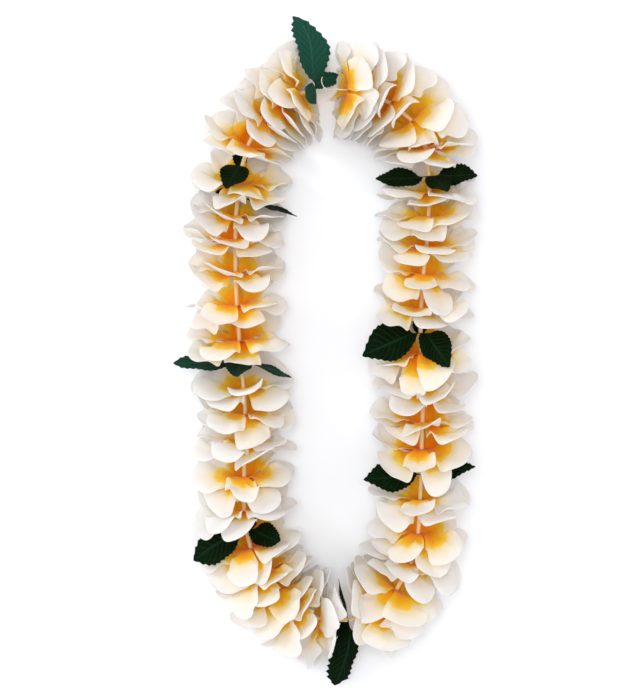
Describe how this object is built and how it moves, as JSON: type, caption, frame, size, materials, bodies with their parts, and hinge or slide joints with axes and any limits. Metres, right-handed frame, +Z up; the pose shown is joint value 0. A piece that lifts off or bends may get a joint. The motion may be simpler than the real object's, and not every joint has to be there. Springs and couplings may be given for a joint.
{
  "type": "artificial flower lei",
  "caption": "Oval garland of moulded fabric plumeria blooms and serrated fabric leaves threaded on a closed string with spacer tubes, laid flat.",
  "frame": {"origin": "centre of the lei's outline, on the surface it lies on", "axes": "+Z up from the surface, +Y along the long way of the loop to the end with the knot, +X across it"},
  "size_m": [0.2346, 0.511, 0.0637],
  "materials": {
    "petal_fabric": "matte woven polyester, airbrushed yellow and orange at the centre",
    "leaf_fabric": "dark green woven polyester with pressed veins",
    "string_and_tube": "milky, slightly translucent"
  },
  "bodies": {
    "root": {"bloom_left_01": "petal_fabric", "bloom_left_02": "petal_fabric", "bloom_left_03": "petal_fabric", "bloom_left_04": "petal_fabric", "bloom_left_05": "petal_fabric", "bloom_left_06": "petal_fabric", "bloom_left_07": "petal_fabric", "bloom_left_08": "petal_fabric", "bloom_left_09": "petal_fabric", "bloom_left_10": "petal_fabric", "bloom_left_11": "petal_fabric", "bloom_left_12": "petal_fabric", "bloom_left_13": "petal_fabric", "bloom_left_14": "petal_fabric", "bloom_left_15": "petal_fabric", "bloom_left_16": "petal_fabric", "bloom_left_17": "petal_fabric", "bloom_left_18": "petal_fabric", "bloom_left_19": "petal_fabric", "bloom_left_20": "petal_fabric", "bloom_right_01": "petal_fabric", "bloom_right_02": "petal_fabric", "bloom_right_03": "petal_fabric", "bloom_right_04": "petal_fabric", "bloom_right_05": "petal_fabric", "bloom_right_06": "petal_fabric", "bloom_right_07": "petal_fabric", "bloom_right_08": "petal_fabric", "bloom_right_09": "petal_fabric", "bloom_right_10": "petal_fabric", "bloom_right_11": "petal_fabric", "bloom_right_12": "petal_fabric", "bloom_right_13": "petal_fabric", "bloom_right_14": "petal_fabric", "bloom_right_15": "petal_fabric", "bloom_right_16": "petal_fabric", "bloom_right_17": "petal_fabric", "bloom_right_18": "petal_fabric", "bloom_right_19": "petal_fabric", "leaf_bottom": "leaf_fabric", "leaf_left_lower": "leaf_fabric", "leaf_left_middle": "leaf_fabric", "leaf_left_inner": "leaf_fabric", "leaf_left_upper": "leaf_fabric", "leaf_top": "leaf_fabric", "leaf_right_upper": "leaf_fabric", "leaf_right_middle": "leaf_fabric", "leaf_right_lower": "leaf_fabric", "string": "string_and_tube"}
  },
  "joints": []
}
